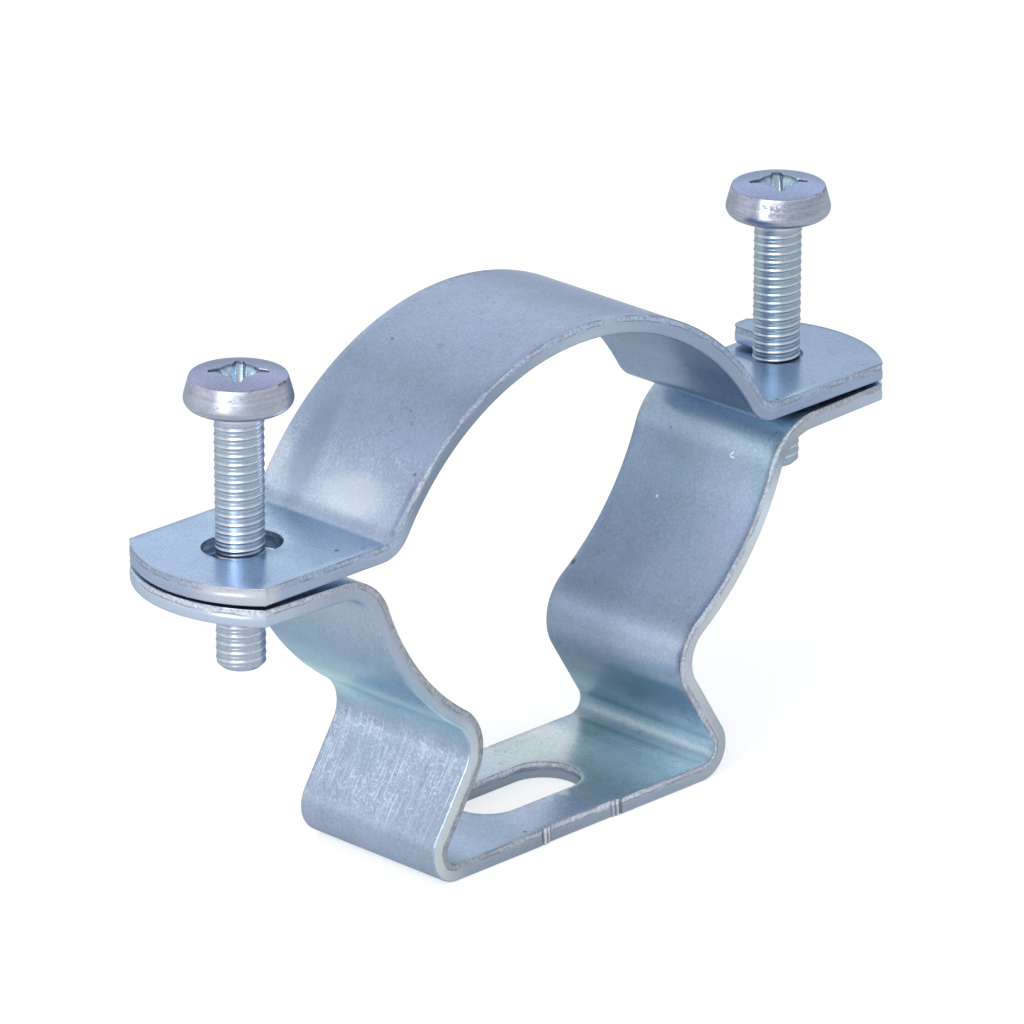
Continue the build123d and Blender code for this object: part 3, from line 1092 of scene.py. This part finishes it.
# %% Finish of the lower strap
lower_finish = SimpleNamespace(
    # Film colours of the upper side, with painted light and shade along the strip
    upper_side=[
        (0, (0.50, 0.61, 0.67)), (6, (0.49, 0.61, 0.67)), (11, (0.55, 0.68, 0.74)),
        (15, (0.36, 0.48, 0.53)), (19, (0.49, 0.70, 0.73)), (22, (0.32, 0.46, 0.54)),
        (24, (0.30, 0.42, 0.53)), (26, (0.42, 0.52, 0.64)), (28.3, (0.33, 0.41, 0.52)),
        (31, (0.37, 0.47, 0.61)), (43, (0.27, 0.37, 0.46)), (47, (0.56, 0.74, 0.80)),
        (50, (0.56, 0.72, 0.84)),
    ],
    # Film colours of the under side, with painted light and shade along the strip
    under_side=[
        (0, (0.47, 0.58, 0.66)), (16, (0.45, 0.54, 0.65)), (19, (0.37, 0.47, 0.59)),
        (26, (0.39, 0.51, 0.63)), (28.5, (0.62, 0.86, 0.92)), (31.5, (0.70, 0.96, 0.97)),
        (35, (0.42, 0.65, 0.72)), (38, (0.35, 0.49, 0.61)), (44, (0.45, 0.56, 0.63)),
        (50, (0.48, 0.59, 0.70)),
    ],
    # Rubbed stretch, whose pale lines and specks also paint sheen and glints
    rubbed=(17, 25, -1, 0.78, 1.0),
    # Painted light and shade along the strip, with a minus sign for the left half
    uneven=[
        (-15, 1.0), (-12, (0.82, 0.86, 0.97)), (-7, (0.84, 0.87, 0.97)), (0, 1.12),
        (3, (1.26, 1.22, 1.10)), (6, (1.32, 1.25, 1.10)), (9, (1.46, 1.32, 1.20)),
        (12, (1.28, 1.24, 1.16)), (14, (1.58, 1.48, 1.36)), (15.5, 1.0),
    ],
    # Share of the painted light and shade from front to back
    hung=0.45,
    nicks=[
        (38.5, 2.8, 0.20, 0.16, 0, (0.76, 0.80, 0.84), 0.8),
        (43.85, -3.2, 0.36, 0.09, 141, (0.84, 0.88, 0.90), 0.9),
        (43.6, -3.35, 0.34, 0.09, 90, (0.84, 0.88, 0.90), 0.9),
        (44.9, -4.8, 0.24, 0.08, 120, (0.78, 0.82, 0.86), 0.7),
        (44.6, -5.4, 0.24, 0.08, 120, (0.78, 0.82, 0.86), 0.7),
        (30.7, 7.2, 0.40, 0.25, 0, (0.12, 0.13, 0.15), 0.9),
    ],
    # Where the bowed end starts, which places the painted highlight on its front
    bow_from=60.8,
    # Painted highlight and shadow lines at the pinch ridges: (place, half width, shade)
    ridges=[
        (4.42, 0.14, (0.16, 0.18, 0.21)), (4.12, 0.10, (0.86, 0.88, 0.90)),
        (3.88, 0.07, (0.22, 0.24, 0.27)), (3.66, 0.08, (0.74, 0.77, 0.80)),
        (3.42, 0.06, (0.26, 0.28, 0.31)),
    ],
    # Torn band: its colour, and tones of painted light and shade along the strip
    torn=((0.50, 0.54, 0.60), [
        (-58, 1.5), (-50, 0.95), (-30, 0.9), (-26, 0.74), (-20, 0.82), (-9, 1.0), (0, 1.5), (4, 1.75),
        (10, 1.2), (16, 1.3), (24, 1.15), (27, 1.5), (30, 1.5), (38, 1.3), (45, 1.65), (50, 1.0), (58, 0.9),
    ]),
    # Polished band: its colour, and tones of painted highlights and shade along the strip
    polished=((0.41, 0.48, 0.57), [
        (-58, 1.5), (-50, 0.95), (-40, 1.2), (-30, 1.05), (-26, (1.8, 1.65, 1.45)),
        (-21, (2.0, 1.85, 1.55)), (-16, (2.0, 1.8, 1.5)), (-13, 1.0), (-5, 0.80), (10, 1.0),
        (18, (1.3, 1.2, 1.05)), (24, (1.75, 1.6, 1.42)), (28, (1.5, 1.35, 1.25)), (35, (1.85, 1.6, 1.4)),
        (40, (2.0, 2.0, 1.8)), (42.5, (1.7, 1.6, 1.5)), (45, 0.78), (48, (1.15, 1.05, 1.0)), (58, 1.3),
    ]),
)
strap_metal(lower_metal, lower_finish)

# %% Finish of the upper strap
upper_finish = SimpleNamespace(
    # Film colours of the upper side, with painted light and shade along the strip
    upper_side=[
        (0, (0.46, 0.56, 0.68)), (8, (0.48, 0.59, 0.76)), (13, (0.39, 0.50, 0.63)),
        (18, (0.42, 0.53, 0.68)), (23, (0.53, 0.65, 0.76)), (26, (0.54, 0.69, 0.84)),
        (36, (0.49, 0.65, 0.82)),
    ],
    # Film colours of the under side, painted darker inside the arch as painted shade
    under_side=[
        (0, (0.40, 0.50, 0.59)), (12, (0.34, 0.44, 0.54)), (22, (0.31, 0.40, 0.51)),
        (30, (0.46, 0.57, 0.68)),
    ],
    # Rubbed stretch on the arch's base, whose specks paint glints of its highlight
    rubbed=(17, 22.5, 1, 0.60, 0.15),
    # Painted light and shade along the strip, with a minus sign for the left half
    uneven=[(-40, 1.04), (-31, 1.10), (-26, 1.0), (26, 1.0), (28, 1.15), (31, 0.88), (36, 0.82)],
    # No painted light and shade from front to back on this strip
    hung=0.0,
    nicks=[
        (-29.5, -5.6, 0.30, 0.26, 0, (0.16, 0.14, 0.13), 0.85),
        (-8.3, 0.0, 0.60, 0.40, 20, (0.44, 0.40, 0.38), 0.5),
        # Painted shade: a large soft darker blue-grey patch low on the arch
        (-20.5, 4.3, 7.0, 1.9, 8, (0.30, 0.39, 0.52), 0.58),
        # Painted highlights: two bright patches at the base of the left arch
        (-22.4, -1.8, 2.3, 4.4, 4, (0.84, 0.92, 0.97), 0.50),
        (-21.6, 7.0, 2.6, 1.3, 0, (0.80, 0.88, 0.94), 0.40),
    ],
    # Where the bowed end starts, which places the painted highlight on its front
    bow_from=36.8,
    ridges=[],
    # Torn band: its colour, and tones of painted light and shade along the strip
    torn=((0.46, 0.54, 0.67), [
        (-37, 0.95), (-28, (0.92, 0.98, 1.05)), (-24, (1.1, 1.1, 1.05)), (-20, (1.7, 1.62, 1.45)),
        (-14, 1.2), (-8, 1.15), (8, (1.05, 1.1, 1.12)), (18, (0.86, 0.95, 1.04)), (37, 0.94),
    ]),
    # Polished band: its colour, and tones of painted highlights and shade along the strip
    polished=((0.40, 0.49, 0.63), [
        (-37, 1.05), (-30, 0.95), (-25, 1.15), (-21, 0.66), (-10, 0.76), (0, (1.4, 1.32, 1.22)),
        (8, 0.95), (22, 0.9), (28, (0.82, 0.88, 0.95)), (36, (0.92, 0.97, 1.0)),
    ]),
)
strap_metal(upper_metal, upper_finish)

# %% [markdown]
# ## Metal of the screws
# The heads are cold-formed and the threads rolled, so both are smoother and brighter
# than the strip. What breaks the shine is fine turning rings round the head, chips on
# its rim from the hopper, scuffs on its side, and a bruise on the right head. On top of
# these, light and shade are painted: painted highlights on the crests of the thread, a
# teal painted reflection inside the recess and a painted shadow under its lip, and a
# darker shank and head side with a lighter dome on the right screw. All of it turns with
# the screw, so it is drawn on the flat attribute, which holds the angle, the radius and
# the height. Both screws share one material; a greater-than on X gives each its own
# painted light and shade.


# %% Places and colours of a screw
def screw_places(paint):
    """Masks of the places on a screw, from its angle, and its radius and height in mm."""
    at = SimpleNamespace(place=paint.place_in_mm())
    at.angle, radius, height = paint.attribute("flat", "Vector").split()
    at.radius, at.height = radius * 1000.0, height * 1000.0
    at.right = at.place.split()[0] > 0.0
    at.on_head = at.height.ramp(-0.1, 0.1)
    at.on_shank = 1.0 - at.on_head
    at.on_dome = at.height.ramp(2.47, 2.52)
    at.on_side = at.on_head * at.radius.ramp(3.6, 3.7) * (1.0 - at.on_dome)
    at.sunk = head_height - at.radius * at.radius * (0.5 / dome_radius) - at.height
    near_axis = at.radius.ramp(2.5, 2.6, 1.0, 0.0)
    at.in_recess = at.sunk.ramp(0.02, 0.06) * near_axis * at.on_head
    return at


def screw_film(paint, at, streaks):
    """Film over shank, head and dome; painted reflection and shadow in the recess, painted crest
    highlights.
    """
    # Painted light and shade: the right screw is darker on its shank and head side and lighter on its dome
    shank = paint.mix(at.right, (0.44, 0.54, 0.63), (0.36, 0.48, 0.54))
    head = paint.mix(at.right, (0.50, 0.55, 0.63), (0.45, 0.50, 0.59))
    dome = paint.mix(at.right, (0.41, 0.46, 0.64), (0.43, 0.53, 0.75))
    metal = paint.mix(at.on_dome, paint.mix(at.on_head, shank, head), dome)
    # Painted reflection: teal inside the recess
    metal = paint.mix(at.in_recess, metal, (0.46, 0.585, 0.66))
    # Painted shadow under the recess's lip
    dark_lip = at.in_recess * at.sunk.ramp(0.15, 0.35, 0.75, 0.0)
    metal = paint.mix(dark_lip, metal, (0.10, 0.12, 0.15))
    film = paint.put(plating.tree, {
        "Place": at.place, "Metal": metal, "Cloud": (1.10, 1.02, 1.04, 1), "Cloud scale": 0.25,
        "Speckle": 0.16, "Speckle scale": 4.5,
    })["Color"]
    film = paint.mix(at.on_side, film, paint.grey(streaks.ramp(0.36, 0.64, 0.82, 1.08)), "MULTIPLY")
    # Painted highlights on the crests of the thread
    crest = at.radius.ramp(1.89, 1.945) * at.on_shank * 0.62
    return paint.mix(crest, film, (0.90, 0.84, 0.87))


# %% Knocks on a screw
def screw_knocks(paint, at):
    """Masks of the chips on the rim and of the scuffs on the head's side."""

    def about(centre, half):
        return abs(at.angle - centre).ramp(half, half * 1.5, 1.0, 0.0)

    rim = at.height.ramp(2.05, 2.42) * at.radius.ramp(3.62, 3.78)
    chips = rim * at.place.noise(1.4, 4.0, 0.7).ramp(0.65, 0.69)
    front_rim = about(-1.22, 0.22) * at.height.ramp(2.25, 2.40) * at.radius.ramp(3.70, 3.76)
    knocked = front_rim * at.place.noise(1.1, 3.0).ramp(0.40, 0.50)
    band = at.height.ramp(0.9, 1.2) * at.height.ramp(1.9, 2.2, 1.0, 0.0) * at.on_head
    scuffs = band * at.place.stretched((0.35, 0.35, 0.8)).noise(1.0, 5.0, 0.8).ramp(0.60, 0.66)
    dents = at.place.noise(2.2, 4.0, 0.8).ramp(0.45, 0.54)
    bruise = about(-2.37, 0.17) * at.right * band * dents
    return chips.maths("MAXIMUM", knocked), scuffs.maths("MAXIMUM", bruise)


# %% The screws' whole metal
def finish_screws(material):
    """Zinc on a screw: colour, roughness and relief."""
    paint, shader = open_material(material)
    at = screw_places(paint)
    ring_place = paint.combined(at.angle * 0.55, at.radius, at.height)
    turning = paint.put(scratching.tree, {
        "Place": ring_place, "Across": 7.0, "Along": 1.0, "Threshold": 0.60,
    })["Mask"]
    streaks = ring_place.stretched((1.0, 0.4, 11.0)).noise(1.0, 5.0, 0.75)
    chips, scuffs = screw_knocks(paint, at)
    pits = paint.put(pitting.tree, {"Place": at.place, "Spacing": 0.5, "Size": 0.05})["Mask"]
    colour = screw_film(paint, at, streaks)
    colour = paint.mix(turning * at.on_head * 0.25, colour, (0.80, 0.84, 0.92))
    colour = paint.mix(scuffs * 0.6, colour, (0.20, 0.21, 0.24))
    colour = paint.mix(chips * 0.8, colour, (0.14, 0.09, 0.07))
    colour = paint.mix(pits * 0.5, colour, (0.12, 0.11, 0.12))
    paint.join(colour, shader["Base Color"])

    side_rough = at.on_side * (0.10 - at.right * 0.08)
    roughness = at.place.noise(4.0, 3.0) * 0.10 + 0.17 + scuffs * 0.2 + side_rough + at.on_shank * 0.08
    paint.join(roughness, shader["Roughness"])

    grain = at.place.noise(4.5, 3.0, 0.7)
    relief = grain * 0.003 + streaks * at.on_side * 0.006 - (chips + scuffs) * 0.012
    bump = paint.output("ShaderNodeBump", {"Height": relief, "Distance": MM, "Strength": 1.0})
    paint.join(bump, shader["Normal"])
    shader["Specular Tint"].default_value = (0.7, 0.75, 0.82, 1)
    print(material.name, "has", len(paint.tree.nodes), "nodes")


finish_screws(screw_metal)

# %% [markdown]
# ## Floor, light and camera
# The clamp stands on white paper. The paper answers the camera with nearly plain white
# and keeps a soft shadow, so the picture has a clean background without more light on
# the metal. A plain white world would do that too, but zinc is a mirror of what is
# round it, and it needs a darker floor below and paler walls beside it to look rounded.
# The paper lies a hair below the foot, so that the two faces don't fight for the view.

# %% Floor
floor_half = 3.0
floor_z = -0.02 * MM
floor_mesh = bpy.data.meshes.new("floor")
floor_corners = [(x * floor_half, y * floor_half, floor_z) for x, y in ((-1, -1), (1, -1), (1, 1), (-1, 1))]
floor_mesh.from_pydata(floor_corners, [], [(0, 1, 2, 3)])
floor = bpy.data.objects.new("floor", floor_mesh)
bpy.context.scene.collection.objects.link(floor)

paper = bpy.data.materials.new("white_paper")
paper.use_nodes = True
paper.node_tree.nodes.clear()
sheet = Paint(paper.node_tree)
ray = sheet.outputs("ShaderNodeLightPath")
mirrored = ray["Is Glossy Ray"] * 0.4
seen = ray["Is Camera Ray"].maths("MAXIMUM", mirrored.maths("MAXIMUM", ray["Is Transmission Ray"]))
matte = sheet.output("ShaderNodeBsdfDiffuse", {"Color": (0.62, 0.63, 0.64, 1)})
half_matte = sheet.output("ShaderNodeBsdfDiffuse", {"Color": (0.55, 0.55, 0.55, 1)})
glow = sheet.output("ShaderNodeEmission", {"Color": (1, 1, 1, 1), "Strength": 0.62})
white = sheet.output("ShaderNodeAddShader", {0: half_matte, 1: glow})
mixed = sheet.output("ShaderNodeMixShader", {0: seen, 1: matte, 2: white})
sheet.node("ShaderNodeOutputMaterial", {0: mixed})
floor_mesh.materials.append(paper)
print("floor is", 2 * floor_half, "m wide")

# %% [markdown]
# The world is a soft room that is brightest a little above the horizon, with a pale
# window on the left behind the clamp. Two softboxes on the left stand for the studio's
# lamps. Shiny metal shows the shape of its lamps, so they are large and soft-edged;
# small ones would leave hard white spots.

# %% World and lamps
world = bpy.data.worlds.new("soft_studio")
bpy.context.scene.world = world
world.use_nodes = True
room = Paint(world.node_tree)
direction = room.output("ShaderNodeTexCoord", None, "Generated")
sky_levels = (
    (0.0, 0.60), (0.20, 0.72), (0.33, 0.92), (0.42, 0.92),
    (0.53, 0.84), (0.66, 0.74), (0.78, 0.62), (1.0, 0.60),
)
sky_marks = [(height, (level * 0.96, level * 0.985, level * 1.04)) for height, level in sky_levels]
sky = room.colour_by(direction.split()[2], 0.0, 1.0, sky_marks)
towards_window = direction.vector("DOT_PRODUCT", (-0.76, 0.65, 0.0), "Value")
window = room.grey(towards_window.ramp(0.86, 0.98, 0.0, 0.35))
background = world.node_tree.nodes["Background"]
room.join(room.mix(1.0, sky, window, "ADD"), background.inputs[0])
background.inputs[1].default_value = 1.0


def softbox(name, place, aim, width, height, watts):
    """Rectangular area lamp at a place, turned towards a point."""
    lamp = bpy.data.lights.new(name, "AREA")
    lamp.shape = "RECTANGLE"
    lamp.size = width
    lamp.size_y = height
    lamp.energy = watts
    made = bpy.data.objects.new(name, lamp)
    facing = (Vector(aim) - Vector(place)).to_track_quat("-Z", "Y")
    made.matrix_world = Matrix.Translation(place) @ facing.to_matrix().to_4x4()
    bpy.context.scene.collection.objects.link(made)
    print(name, "gives", watts, "W")


clamp_middle = (0, 0, 0.03)
softbox("left_box", (-0.86, -0.22, 0.48), clamp_middle, 0.42, 0.95, 4.2)
softbox("camera_box", (-0.72, -0.66, 0.52), clamp_middle, 0.4, 0.6, 1.2)

# %% [markdown]
# The camera has a long lens and stands well back, because the straight edges of the
# clamp hardly converge in the photograph of it. Its place follows from the point that
# it looks at, its distance, the way it faces and its tilt.

# %% Camera
aim = Vector((-0.29, 0.13, 25.10)) * MM
distance = 0.69
heading = math.radians(-45.53)
looks_down = math.radians(21.32)
roll = math.radians(0.13)
camera_data = bpy.data.cameras.new("camera")
camera_data.sensor_width = 36
camera_data.lens = 308.2
camera_data.clip_start = 0.05
camera_data.clip_end = 20
camera = bpy.data.objects.new("camera", camera_data)
turned = Matrix.Rotation(heading, 4, "Z") @ Matrix.Rotation(math.pi / 2 - looks_down, 4, "X")
turned = turned @ Matrix.Rotation(roll, 4, "Z")
backwards = turned.to_3x3() @ Vector((0, 0, 1))
camera.matrix_world = Matrix.Translation(aim + distance * backwards) @ turned
bpy.context.scene.collection.objects.link(camera)
bpy.context.scene.camera = camera
bpy.context.scene.view_settings.view_transform = "Standard"
print("camera at", [round(c, 3) for c in camera.matrix_world.translation])

# %% Update the scene
bpy.context.view_layer.update()
